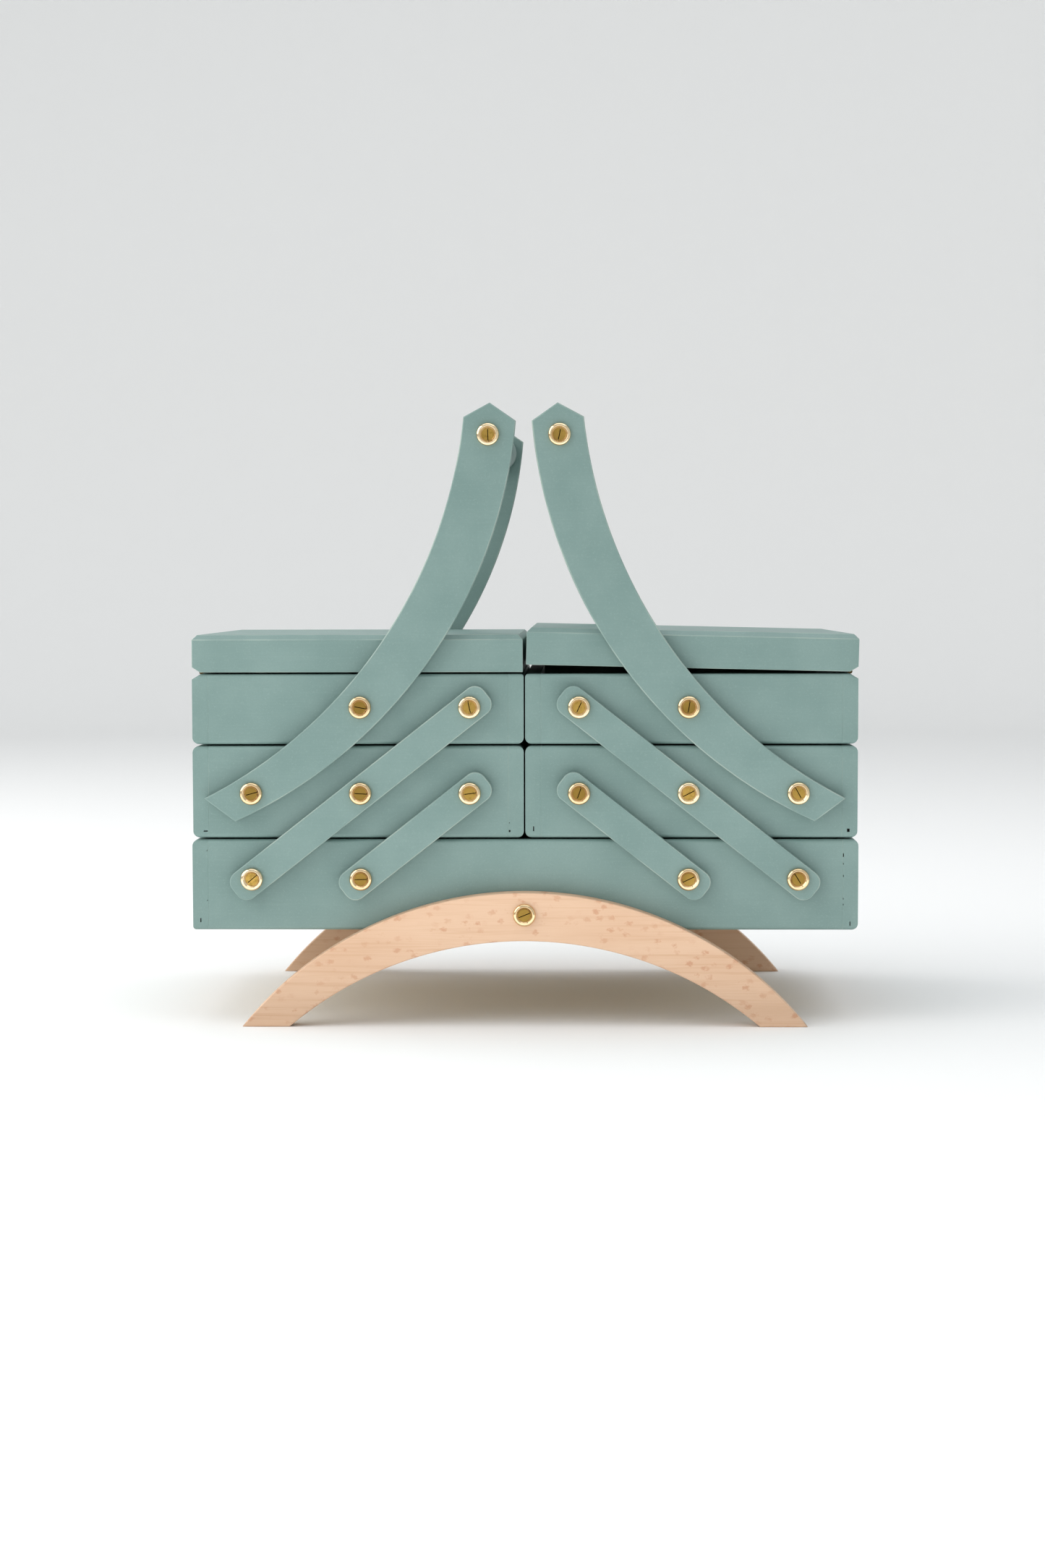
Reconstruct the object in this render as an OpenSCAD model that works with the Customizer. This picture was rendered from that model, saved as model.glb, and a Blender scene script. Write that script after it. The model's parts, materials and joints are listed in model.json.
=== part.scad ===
// Cantilever sewing box. A base box stands on two arched feet. On each side it carries a lower tray,
// an upper tray and a hinged lid, on long and short levers and a curved handle, at the front and rear.
// The origin is on the floor under the middle of the box: +X to the right, front towards -Y, +Z up.

/* [Box] */
// Width of the base box
box_w = 300; // [250:1:380]
// Depth over the front and rear boards
box_d = 170; // [130:1:220]
// Clear height under the base box
base_z = 42.6; // [36:0.2:52]
// Height of the base box
base_h = 41; // [34:0.2:52]
// Height of the lower trays
lower_h = 41.4; // [34:0.2:52]
// Height of the upper trays
upper_h = 31.5; // [26:0.5:44]
// Height of the lids
lid_h = 16.8; // [13:0.2:24]
// How far each tray's outer end stands back from the end of the base
tray_back = 0.5; // [0:0.1:2]
// Gap between one tier and the next
tier_gap = 0.8; // [0.6:0.1:2]
// Gap between the left and right trays
tray_seam = 0.7; // [0.6:0.1:3]
// Gap between the left and right lids
lid_seam = 1.4; // [1:0.1:4]

/* [Boards] */
// Thickness of the front, rear and end boards
wall = 7; // [6:0.2:10]
// Thickness of the floor panels
floor_t = 3; // [2:0.2:4]
// Depth of the groove that holds a floor panel
groove_deep = 3.5; // [2:0.1:4]
// Room round a floor panel in its groove
groove_room = 0.3; // [0.1:0.1:1]
// Height of the trays' grooves above their bottom edge
tray_groove_up = 3; // [2:0.2:6]
// Height of the base's groove above its bottom edge
base_groove_up = 4.6; // [2:0.2:8]
// Thickness of the panel on top of a lid
lid_top_t = 5; // [3.5:0.2:8]

/* [Edges] */
// Radius of the corners seen from the front
corner_r = 3; // [1:0.1:5]
// Radius of the long front and rear edges
edge_r = 1.6; // [0.5:0.1:3]
// Width of the bevel round the top of a lid
lid_bevel = 2.2; // [1:0.1:3.4]
// Width of the hinge notch's bevels
notch_w = 3.7; // [2.5:0.1:5]
// Height of the hinge notch's bevels
notch_h = 2.3; // [1.5:0.1:4]

/* [Levers] */
// Distance of the outer pivots from the end of the base
pivot_in = 27.5; // [20:0.5:40]
// Distance of the inner pivots from the middle of the box
pivot_mid = 24.5; // [18:0.5:36]
// Height of the base's pivots above its bottom edge
base_pivot_up = 23.6; // [16:0.2:30]
// Height of the upper trays' pivots above their bottom edge
upper_pivot_up = 16.7; // [12:0.1:22]
// Width of a lever
lever_w = 14.3; // [12:0.1:20]
// Thickness of a lever and of a handle arm
lever_t = 5.5; // [4:0.1:8]
// Length of a lever past its end pivots
lever_over = 9.9; // [7:0.1:12]
// Radius of a lever's corners
lever_r = 5; // [2:0.1:6]
// Gap between a lever and the face behind it
lever_gap = 0.4; // [0.3:0.1:1]

/* [Handle] */
// Distance of each grip from the middle of the box
grip_x = 15.9; // [12:0.1:26]
// Height of the grips above the lids
grip_up = 88.8; // [70:1:120]
// Diameter of a grip
grip_dia = 18; // [12:1:22]
// Width of an arm at its lower pivot
arm_low_w = 16.7; // [14:0.1:20]
// Width of an arm at the grip
arm_top_w = 23.4; // [20:0.1:28]
// Turn from the grip to where an arm would be widest, in degrees
arm_lean = 8.5; // [0:0.5:15]
// Distance of an arm's lower end cut from its lower pivot
arm_end = 14.5; // [11:0.1:18]
// Slope of the lower end cut, in degrees
arm_end_slope = 36.8; // [20:0.1:50]
// Distance of the two head cuts from the grip's screw
head_reach = 12; // [10:0.1:15]
// Half of the turn between the two head cuts, in degrees
head_half = 31.5; // [20:0.5:45]
// Turn of the head cuts towards the middle of the box, in degrees
head_tilt = 4; // [-10:0.5:15]

/* [Feet] */
// Height of the arch's crown above the base's bottom edge
foot_up = 17.8; // [14:0.2:26]
// Distance of a foot's tips from the ends of the base
foot_in = 23.1; // [10:0.1:40]
// Height of wood at the crown
foot_w = 21.7; // [14:0.1:30]
// Thickness of a foot
foot_t = 10; // [6:0.5:14]
// Distance of the foot's screw below the crown
foot_screw_down = 9.9; // [7:0.1:14]

/* [Fasteners] */
// Radius of a screw's shank
screw_r = 1.5; // [1.2:0.05:2]
// Radius of a screw's head
screw_head_r = 2.85; // [2.4:0.05:3.2]
// How far a screw bites into a board
screw_bite = 5.5; // [4:0.1:6]
// How far a grip's screw bites into the grip
grip_bite = 14; // [8:1:25]
// Running clearance round a screw in a lever
run_gap = 0.08; // [0.04:0.01:0.1]
// Outer radius of a screw cup
cup_r = 5.1; // [4.5:0.1:6.5]
// Radius of a cup's rim
cup_rim_r = 3.6; // [3.3:0.1:4.5]
// Height of a cup
cup_h = 2.2; // [1.6:0.1:3]
// Least height of a cup's straight edge, under the round
cup_edge = 0.3; // [0.2:0.1:0.6]
// Gap between a cup and the lever that turns under it
cup_gap = 0.2; // [0.1:0.05:0.5]
// Width of the slot in a screw's head
slot_w = 0.7; // [0.5:0.1:1]
// Depth of the slot
slot_deep = 0.6; // [0.3:0.1:0.8]

/* [Hinges] */
// Length of a hinge
hinge_l = 25; // [18:1:40]
// Distance of a hinge from the front or rear of the lid
hinge_in = 18; // [10:1:30]
// Distance of the hinge pin outside the notch's point
hinge_out = 1.8; // [1.6:0.1:2.4]
// Radius of a hinge's knuckle
knuckle_r = 1; // [0.8:0.05:1.1]
// Radius of the hinge pin
hinge_pin_r = 0.5; // [0.4:0.05:0.6]
// Running clearance of the lid's knuckle on the pin
hinge_run_gap = 0.06; // [0.03:0.01:0.1]
// Thickness of a hinge leaf
leaf_t = 0.5; // [0.4:0.1:0.8]
// Distance of a hinge leaf from the inner face of its board
leaf_in = 0.5; // [0.3:0.1:1]
// Gap round a knuckle
knuckle_gap = 0.3; // [0.2:0.05:0.5]
// Radius of a hinge nail
nail_r = 0.6; // [0.4:0.1:0.8]
// Length of a hinge nail
nail_l = 5; // [3:0.5:8]
// Clearance that keeps a fastener apart from the brass that it sits in
seat_gap = 0.03; // [0.02:0.01:0.1]
// How far the right lid stands open at rest, in degrees
right_lid_ajar = 1.3; // [0:0.1:5]

/* [Hidden] */
$fn = 48;
LEFT = -1;
RIGHT = 1;
FRONT = -1;
REAR = 1;
past = 1;              // how far a cutter runs past what it cuts
far = 400;             // size of the blocks that cut an arm's ends
wood_green = "#859f98";
wood_beech = "#e0bfa2";
wood_ply = "#d9c19a";
brass = "#c9a55c";

// Tiers, by height
lower_z = base_z + base_h + tier_gap;
upper_z = lower_z + lower_h + tier_gap;
lid_z = upper_z + upper_h + tier_gap;
top_z = lid_z + lid_h;

// Faces and ends
face_y = box_d / 2;
tray_in_x = tray_seam / 2;
tray_out_x = box_w / 2 - tray_back;
lid_in_x = lid_seam / 2;

// Pivots: three columns and three rows, so that every lever has the same pitch and slope
pivot_dx = (box_w / 2 - pivot_in - pivot_mid) / 2;
base_pivot_z = base_z + base_pivot_up;
upper_pivot_z = upper_z + upper_pivot_up;
pivot_dz = (upper_pivot_z - base_pivot_z) / 2;
lower_pivot_z = base_pivot_z + pivot_dz;
pivot_x = [for (i = [0:2]) pivot_mid + i * pivot_dx];
lever_pitch = norm([pivot_dx, pivot_dz]);
lever_slope = atan2(pivot_dz, pivot_dx);

// Which columns of pivots each tier has
base_columns = [1, 2];
lower_columns = [0, 1, 2];
upper_columns = [0, 1];

// Surfaces that the cups stand on, as distances in front of the boards
lever_front = lever_gap + lever_t;

// Both edges of a foot's arch are circles of the radius that reaches from tip to crown to tip
foot_h = base_z + foot_up;
foot_half = box_w / 2 - foot_in;
foot_r = (foot_half * foot_half + foot_h * foot_h) / (2 * foot_h);
foot_screw_z = foot_h - foot_screw_down;
foot_screw_bite = wall - groove_deep;  // it stops short of the base's floor panel

// The arm's middle line is the circle through its three screws
grip_z = top_z + grip_up;
arm_low = [pivot_x[2], lower_pivot_z];
arm_mid = [pivot_x[1], upper_pivot_z];
arm_top = [grip_x, grip_z];
arm_centre = circumcentre(arm_low, arm_mid, arm_top);
arm_r = norm(arm_top - arm_centre);
top_turn = turn_of(arm_top - arm_centre);
low_turn = turn_of(arm_low - arm_centre);
wide_turn = top_turn + arm_lean;
// Both edges are circles, moved apart along the widest direction so that the arm tapers
arm_shift = (arm_top_w - arm_low_w) / 2
    / (cos(top_turn - wide_turn) - cos(low_turn - wide_turn));
arm_shift_top = arm_shift * cos(top_turn - wide_turn);
outer_edge_r = arm_r + arm_top_w / 2 - arm_shift_top;
inner_edge_r = arm_r - arm_top_w / 2 + arm_shift_top;
wide_way = [cos(wide_turn), sin(wide_turn)];

// Lid hinges
notch_x = tray_out_x - notch_w;
hinge_x = notch_x + hinge_out;
hinge_z = upper_z + upper_h + tier_gap / 2;
hinge_y = face_y - hinge_in - hinge_l / 2;
knuckle_l = (hinge_l - 2 * knuckle_gap) / 3;
leaf_x = tray_out_x - wall + leaf_in;
leaf_w = hinge_x - leaf_x;
nail_x = (leaf_x + notch_x) / 2;
nail_dy = hinge_l / 3;

// ---- Helpers ----

function turn_of(v) = atan2(v.y, v.x) + (v.y < 0 ? 360 : 0);

function circumcentre(a, b, c) =
    let (d = 2 * (a.x * (b.y - c.y) + b.x * (c.y - a.y) + c.x * (a.y - b.y)))
    [
        (a * a * (b.y - c.y) + b * b * (c.y - a.y) + c * c * (a.y - b.y)) / d,
        (a * a * (c.x - b.x) + b * b * (a.x - c.x) + c * c * (b.x - a.x)) / d
    ];

// Everything is drawn on the right and at the front, and mirrored to the left or the rear
module on(side) mirror([side == LEFT ? 1 : 0, 0, 0]) children();
module at(face) mirror([0, face == REAR ? 1 : 0, 0]) children();

// A block from one corner to the other
module block(low, high) translate(low) cube(high - low);

// A profile drawn in X and Z, run through the depth of the box
module through_depth() translate([0, face_y, 0]) rotate([90, 0, 0]) linear_extrude(box_d) children();

// A profile drawn in Y and Z, run from x0 to x1
module along(x0, x1) translate([x0, 0, 0]) rotate([90, 0, 90]) linear_extrude(x1 - x0) children();

// What is cut off a square corner at the origin to round it
module corner_waste(r) {
    difference() {
        translate([-past, -past]) square(r + past);
        translate([r, r]) circle(r);
    }
}

// A rectangle with rounded corners; r runs anticlockwise from the lower left one
module soft_rect(w, h, r) {
    difference() {
        square([w, h]);
        for (i = [0:3]) if (r[i] > 0) {
            right = i == 1 || i == 2 ? 1 : 0;
            up = i >= 2 ? 1 : 0;
            translate([right * w, up * h]) mirror([right, 0]) mirror([0, up]) corner_waste(r[i]);
        }
    }
}

// ---- Boards ----

// The outside of a box or tray, as if it were solid; r as in soft_rect, seen from the front
module tray_block(x0, x1, z0, h, r) {
    intersection() {
        translate([x0, 0, z0]) through_depth() soft_rect(x1 - x0, h, r);
        translate([0, 0, z0]) along(x0 - past, x1 + past)
            translate([-face_y, 0]) soft_rect(box_d, h, [edge_r, edge_r, edge_r, edge_r]);
    }
}

// The groove's space round a floor panel, or with some room taken off, the panel itself
module floor_space(x0, x1, z, room) {
    reach = groove_deep - wall - room;
    block(
        [x0 - reach, -face_y - reach, z],
        [x1 + reach, face_y + reach, z + floor_t]
    );
}

module front_board(x0, x1, z0, h, r, groove_z, screw_xs, screw_z) {
    difference() {
        intersection() {
            tray_block(x0, x1, z0, h, r);
            block([x0 + wall, -face_y, z0], [x1 - wall, -face_y + wall, z0 + h]);
        }
        floor_space(x0, x1, groove_z, 0);
        for (x = screw_xs) screw_hole(x, -face_y, screw_z, screw_bite, screw_r);
    }
}

module end_board(x0, x1, z0, h, r, groove_z, cut_x) {
    difference() {
        intersection() {
            tray_block(x0, x1, z0, h, r);
            block([cut_x, -face_y, z0], [cut_x + wall, face_y, z0 + h]);
        }
        floor_space(x0, x1, groove_z, 0);
    }
}

// A round hole that runs back along +Y from the point given
module screw_hole(x, y, z, deep, r) {
    translate([x, y - past, z]) rotate([-90, 0, 0]) cylinder(r = r, h = deep + past);
}

// ---- Base ----

module base_front(face) {
    xs = [for (side = [LEFT, RIGHT], i = base_columns) side * pivot_x[i]];
    color(wood_green) at(face) difference() {
        front_board(-box_w / 2, box_w / 2, base_z, base_h, base_corners(),
            base_z + base_groove_up, xs, base_pivot_z);
        screw_hole(0, -face_y, foot_screw_z, foot_screw_bite, screw_r);
    }
}

function base_corners() = [corner_r / 2, corner_r, corner_r, corner_r];

module base_end(side) {
    color(wood_green) end_board(-box_w / 2, box_w / 2, base_z, base_h, base_corners(),
        base_z + base_groove_up, side == RIGHT ? box_w / 2 - wall : -box_w / 2);
}

module base_floor() {
    color(wood_ply) floor_space(-box_w / 2, box_w / 2, base_z + base_groove_up, groove_room);
}

// An arch between two circles of the same radius, standing on the floor
module foot(face) {
    color(wood_beech) at(face) translate([0, -face_y, 0]) rotate([90, 0, 0]) difference() {
        translate([0, foot_h - foot_r, 0]) cylinder(r = foot_r, h = foot_t);
        translate([0, foot_h - foot_w - foot_r, -past]) cylinder(r = foot_r, h = foot_t + 2 * past);
        translate([-foot_r - past, -2 * foot_r, -past])
            cube([2 * (foot_r + past), 2 * foot_r, foot_t + 2 * past]);
        translate([0, foot_screw_z, -past]) cylinder(r = screw_r, h = foot_t + 2 * past);
    }
}

module base_fasteners() {
    for (face = [FRONT, REAR]) at(face) {
        for (side = [LEFT, RIGHT]) fastener_row(side, base_columns, base_pivot_z);
        fastener(0, foot_screw_z, foot_t, 0, foot_screw_bite, slot_turn(0, foot_screw_z));
    }
}

// ---- Trays ----

lower_corners = [corner_r, corner_r, corner_r, corner_r];
upper_corners = [corner_r, corner_r, 0, corner_r / 2];

module lower_front(side, face) {
    color(wood_green) on(side) at(face) front_board(tray_in_x, tray_out_x, lower_z, lower_h,
        lower_corners, lower_z + tray_groove_up, [for (i = lower_columns) pivot_x[i]], lower_pivot_z);
}

module lower_end(side, cut_x) {
    color(wood_green) on(side) end_board(tray_in_x, tray_out_x, lower_z, lower_h, lower_corners,
        lower_z + tray_groove_up, cut_x);
}

module lower_floor(side) {
    color(wood_ply) on(side)
        floor_space(tray_in_x, tray_out_x, lower_z + tray_groove_up, groove_room);
}

module upper_front(side, face) {
    color(wood_green) on(side) at(face) front_board(tray_in_x, tray_out_x, upper_z, upper_h,
        upper_corners, upper_z + tray_groove_up, [for (i = upper_columns) pivot_x[i]], upper_pivot_z);
}

module upper_inner_end(side) {
    color(wood_green) on(side) end_board(tray_in_x, tray_out_x, upper_z, upper_h, upper_corners,
        upper_z + tray_groove_up, tray_in_x);
}

// The outer end has the lower half of the hinge notch along its top, and seats for two hinge leaves
module upper_outer_end(side) {
    color(wood_green) on(side) difference() {
        end_board(tray_in_x, tray_out_x, upper_z, upper_h, upper_corners,
            upper_z + tray_groove_up, tray_out_x - wall);
        translate([0, 0, upper_z + upper_h]) mirror([0, 0, 1]) notch_waste();
        for (face = [FRONT, REAR]) at(face) {
            translate([leaf_x, -hinge_y - hinge_l / 2, upper_z + upper_h - leaf_t])
                cube([wall, hinge_l, leaf_t + past]);
            for (dy = [-nail_dy, nail_dy]) translate([nail_x, -hinge_y + dy, upper_z + upper_h - nail_l])
                cylinder(r = nail_r, h = nail_l + past);
        }
    }
}

module upper_floor(side) {
    color(wood_ply) on(side)
        floor_space(tray_in_x, tray_out_x, upper_z + tray_groove_up, groove_room);
}

// The bevel that is cut off an outer end's lower edge, with that edge at z = 0
module notch_waste() {
    through_depth() polygon([
        [notch_x, 0], [tray_out_x, notch_h], [tray_out_x + past, notch_h + past],
        [tray_out_x + past, -past], [notch_x, -past]
    ]);
}

module tray_fasteners(side, columns, z) {
    on(side) for (face = [FRONT, REAR]) at(face) fastener_row(RIGHT, columns, z);
}

// ---- Lids ----

// A lid turns about its hinge pins; the right one is drawn a little open
module lid_turned(side) {
    turn = side == RIGHT ? right_lid_ajar : 0;
    on(side) translate([hinge_x, 0, hinge_z]) rotate([0, turn, 0])
        translate([-hinge_x, 0, -hinge_z]) children();
}

// The outside of a lid: a bevel all round the top, and the upper half of the hinge notch
module lid_block() {
    w = tray_out_x - lid_in_x;
    intersection() {
        translate([lid_in_x, 0, lid_z]) through_depth() polygon([
            [0, 0], [w - notch_w, 0], [w, notch_h], [w, lid_h - lid_bevel], [w - lid_bevel, lid_h],
            [lid_bevel, lid_h], [0, lid_h - lid_bevel]
        ]);
        translate([0, -face_y, lid_z]) along(lid_in_x - past, tray_out_x + past) polygon([
            [0, 0], [box_d, 0], [box_d, lid_h - lid_bevel], [box_d - lid_bevel, lid_h],
            [lid_bevel, lid_h], [0, lid_h - lid_bevel]
        ]);
    }
}

module lid_top(side) {
    color(wood_green) lid_turned(side) intersection() {
        lid_block();
        block([0, -box_d, top_z - lid_top_t], [box_w, box_d, top_z + past]);
    }
}

module lid_rails(side) {
    color(wood_green) lid_turned(side) for (face = [FRONT, REAR]) at(face) intersection() {
        lid_block();
        block(
            [lid_in_x + wall, -face_y, lid_z],
            [tray_out_x - wall, -face_y + wall, top_z - lid_top_t]
        );
    }
}

module lid_inner_end(side) {
    color(wood_green) lid_turned(side) intersection() {
        lid_block();
        block([lid_in_x, -face_y, lid_z], [lid_in_x + wall, face_y, top_z - lid_top_t]);
    }
}

module lid_outer_end(side) {
    color(wood_green) lid_turned(side) difference() {
        intersection() {
            lid_block();
            block([tray_out_x - wall, -face_y, lid_z], [tray_out_x, face_y, top_z - lid_top_t]);
        }
        for (face = [FRONT, REAR]) at(face) {
            translate([leaf_x, -hinge_y - hinge_l / 2, lid_z - past])
                cube([wall, hinge_l, leaf_t + past]);
            for (dy = [-nail_dy, nail_dy]) translate([nail_x, -hinge_y + dy, lid_z - past])
                cylinder(r = nail_r, h = nail_l + past);
        }
    }
}

// ---- Hinges ----

// One leaf: a plate that stands clear of the other leaf's knuckles, and its own knuckles.
// The middle third is the lid's, the outer thirds are the tray's; bore is the radius on the pin.
module hinge_leaf(plate_z, own, bore) {
    difference() {
        union() {
            translate([leaf_x, -hinge_l / 2, plate_z])
                cube([leaf_w - knuckle_r - knuckle_gap, hinge_l, leaf_t]);
            for (i = own) {
                translate([leaf_x, knuckle_y(i), plate_z]) cube([leaf_w, knuckle_l, leaf_t]);
                translate([hinge_x, knuckle_y(i), hinge_z]) rotate([-90, 0, 0])
                    cylinder(r = knuckle_r, h = knuckle_l);
            }
        }
        translate([hinge_x, -hinge_l, hinge_z]) rotate([-90, 0, 0])
            cylinder(r = bore, h = 2 * hinge_l);
        for (dy = [-nail_dy, nail_dy]) translate([nail_x, dy, plate_z - past])
            cylinder(r = nail_r + seat_gap, h = leaf_t + 2 * past);
    }
}

function knuckle_y(i) = -hinge_l / 2 + i * (knuckle_l + knuckle_gap);

module tray_hinges(side) {
    color(brass) on(side) for (face = [FRONT, REAR]) at(face) translate([0, -hinge_y, 0]) {
        hinge_leaf(upper_z + upper_h - leaf_t, [0, 2], hinge_pin_r + seat_gap);
        translate([hinge_x, -hinge_l / 2, hinge_z]) rotate([-90, 0, 0])
            cylinder(r = hinge_pin_r, h = hinge_l);
        for (dy = [-nail_dy, nail_dy]) translate([nail_x, dy, upper_z + upper_h - nail_l])
            cylinder(r = nail_r, h = nail_l);
    }
}

module lid_hinges(side) {
    color(brass) lid_turned(side) for (face = [FRONT, REAR]) at(face) translate([0, -hinge_y, 0]) {
        hinge_leaf(lid_z, [1], hinge_pin_r + hinge_run_gap);
        for (dy = [-nail_dy, nail_dy]) translate([nail_x, dy, lid_z])
            cylinder(r = nail_r, h = nail_l);
    }
}

// ---- Levers ----

// A lever with its first pivot at the given column and row, and one bore for every pivot
module lever(side, face, column, z, pivots) {
    long = (pivots - 1) * lever_pitch;
    color(wood_green) on(side) at(face)
        translate([pivot_x[column], -face_y - lever_gap, z]) rotate([90, 0, 0])
        rotate([0, 0, 180 - lever_slope]) difference() {
            linear_extrude(lever_t) translate([-lever_over, -lever_w / 2])
                soft_rect(long + 2 * lever_over, lever_w, [lever_r, lever_r, lever_r, lever_r]);
            for (i = [0:pivots - 1]) translate([i * lever_pitch, 0, -past])
                cylinder(r = screw_r + run_gap, h = lever_t + 2 * past);
        }
}

// ---- Handle ----

// A block that removes everything further than reach from a point, in the direction given
module beyond(point, turn, reach) {
    translate([point.x, point.y, -past]) rotate([0, 0, turn])
        translate([reach, -far / 2, 0]) cube([far, far, lever_t + 2 * past]);
}

module arm(side, face) {
    head_turn = top_turn - 90 - head_tilt;
    color(wood_green) on(side) at(face)
        translate([0, -face_y - lever_gap, 0]) rotate([90, 0, 0]) difference() {
            translate(arm_centre + arm_shift * wide_way) cylinder(r = outer_edge_r, h = lever_t, $fn = 180);
            translate(arm_centre - arm_shift * wide_way) translate([0, 0, -past])
                cylinder(r = inner_edge_r, h = lever_t + 2 * past, $fn = 180);
            beyond(arm_low, arm_end_slope - 90, arm_end);
            for (turn = [-head_half, head_half]) beyond(arm_top, head_turn + turn, head_reach);
            for (p = [arm_low, arm_mid]) translate([p.x, p.y, -past])
                cylinder(r = screw_r + run_gap, h = lever_t + 2 * past);
            translate([arm_top.x, arm_top.y, -past]) cylinder(r = screw_r, h = lever_t + 2 * past);
        }
}

module grip(side) {
    half = face_y + lever_gap;
    color(wood_green) on(side) difference() {
        translate([grip_x, half, grip_z]) rotate([90, 0, 0]) cylinder(r = grip_dia / 2, h = 2 * half);
        for (face = [FRONT, REAR]) at(face) screw_hole(grip_x, -half, grip_z, grip_bite, screw_r);
    }
}

module handle_fasteners(side) {
    on(side) for (face = [FRONT, REAR]) at(face)
        fastener(grip_x, grip_z, lever_front, 0, grip_bite - lever_gap, slot_turn(grip_x, grip_z));
}

// ---- Fasteners ----

// Every screw was left at a turn of its own
function slot_turn(x, z) = (x * 7 + z * 11) % 180;

module fastener_row(side, columns, z) {
    for (i = columns)
        fastener(side * pivot_x[i], z, lever_front, cup_gap, screw_bite, slot_turn(side * i, z));
}

// A brass cup and a slotted countersunk screw; front is the face it stands on, in front of the boards
module fastener(x, z, front, gap, bite, turn) {
    head_top = cup_h - (cup_rim_r - screw_head_r);
    color(brass) translate([x, -face_y - front - gap, z]) rotate([90, 0, 0]) {
        rotate_extrude() cup_profile(head_top);
        difference() {
            rotate_extrude() screw_profile(head_top, front + gap + bite);
            rotate([0, 0, turn]) translate([-cup_r, -slot_w / 2, head_top - slot_deep])
                cube([2 * cup_r, slot_w, slot_deep + past]);
        }
    }
}

// The cup's outside ends in a quarter round, its inside is a cone that the screw's head fills
module cup_profile(head_top) {
    round_r = min(cup_r - cup_rim_r, cup_h - cup_edge);
    difference() {
        union() {
            square([cup_r - round_r, cup_h]);
            square([cup_r, cup_h - round_r]);
            translate([cup_r - round_r, cup_h - round_r]) intersection() {
                circle(round_r);
                square(round_r);
            }
        }
        polygon([
            [-past, -past], [-past, cup_h + past], [cup_rim_r + past, cup_h + past],
            [cup_rim_r, cup_h], [screw_head_r + seat_gap, head_top],
            [screw_r + seat_gap, head_top - (screw_head_r - screw_r)], [screw_r + seat_gap, -past]
        ]);
    }
}

module screw_profile(head_top, long) {
    polygon([
        [0, head_top], [screw_head_r, head_top], [screw_r, head_top - (screw_head_r - screw_r)],
        [screw_r, -long + screw_r], [0, -long]
    ]);
}

// ---- The nodes ----

base_front(FRONT);
base_front(REAR);  // base_rear
base_end(LEFT);  // base_left_end
base_end(RIGHT);  // base_right_end
base_floor();
foot(FRONT);  // front_foot
foot(REAR);  // rear_foot
base_fasteners();

lower_front(LEFT, FRONT);  // left_lower_front
lower_front(LEFT, REAR);  // left_lower_rear
lower_end(LEFT, tray_in_x);  // left_lower_inner_end
lower_end(LEFT, tray_out_x - wall);  // left_lower_outer_end
lower_floor(LEFT);  // left_lower_floor
tray_fasteners(LEFT, lower_columns, lower_pivot_z);  // left_lower_fasteners
lower_front(RIGHT, FRONT);  // right_lower_front
lower_front(RIGHT, REAR);  // right_lower_rear
lower_end(RIGHT, tray_in_x);  // right_lower_inner_end
lower_end(RIGHT, tray_out_x - wall);  // right_lower_outer_end
lower_floor(RIGHT);  // right_lower_floor
tray_fasteners(RIGHT, lower_columns, lower_pivot_z);  // right_lower_fasteners

upper_front(LEFT, FRONT);  // left_upper_front
upper_front(LEFT, REAR);  // left_upper_rear
upper_inner_end(LEFT);  // left_upper_inner_end
upper_outer_end(LEFT);  // left_upper_outer_end
upper_floor(LEFT);  // left_upper_floor
tray_fasteners(LEFT, upper_columns, upper_pivot_z);  // left_upper_fasteners
tray_hinges(LEFT);  // left_tray_hinges
upper_front(RIGHT, FRONT);  // right_upper_front
upper_front(RIGHT, REAR);  // right_upper_rear
upper_inner_end(RIGHT);  // right_upper_inner_end
upper_outer_end(RIGHT);  // right_upper_outer_end
upper_floor(RIGHT);  // right_upper_floor
tray_fasteners(RIGHT, upper_columns, upper_pivot_z);  // right_upper_fasteners
tray_hinges(RIGHT);  // right_tray_hinges

lid_top(LEFT);  // left_lid_top
lid_rails(LEFT);  // left_lid_rails
lid_inner_end(LEFT);  // left_lid_inner_end
lid_outer_end(LEFT);  // left_lid_outer_end
lid_hinges(LEFT);  // left_lid_hinges
lid_top(RIGHT);  // right_lid_top
lid_rails(RIGHT);  // right_lid_rails
lid_inner_end(RIGHT);  // right_lid_inner_end
lid_outer_end(RIGHT);  // right_lid_outer_end
lid_hinges(RIGHT);  // right_lid_hinges

lever(LEFT, FRONT, 2, base_pivot_z, 3);  // left_front_long_lever
lever(LEFT, REAR, 2, base_pivot_z, 3);  // left_rear_long_lever
lever(LEFT, FRONT, 1, base_pivot_z, 2);  // left_front_short_lever
lever(LEFT, REAR, 1, base_pivot_z, 2);  // left_rear_short_lever
lever(RIGHT, FRONT, 2, base_pivot_z, 3);  // right_front_long_lever
lever(RIGHT, REAR, 2, base_pivot_z, 3);  // right_rear_long_lever
lever(RIGHT, FRONT, 1, base_pivot_z, 2);  // right_front_short_lever
lever(RIGHT, REAR, 1, base_pivot_z, 2);  // right_rear_short_lever

arm(LEFT, FRONT);  // left_front_arm
arm(LEFT, REAR);  // left_rear_arm
grip(LEFT);  // left_grip
handle_fasteners(LEFT);  // left_handle_fasteners
arm(RIGHT, FRONT);  // right_front_arm
arm(RIGHT, REAR);  // right_rear_arm
grip(RIGHT);  // right_grip
handle_fasteners(RIGHT);  // right_handle_fasteners
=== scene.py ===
import json
import math

import bmesh
import bpy
from mathutils import Matrix, Vector


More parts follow.
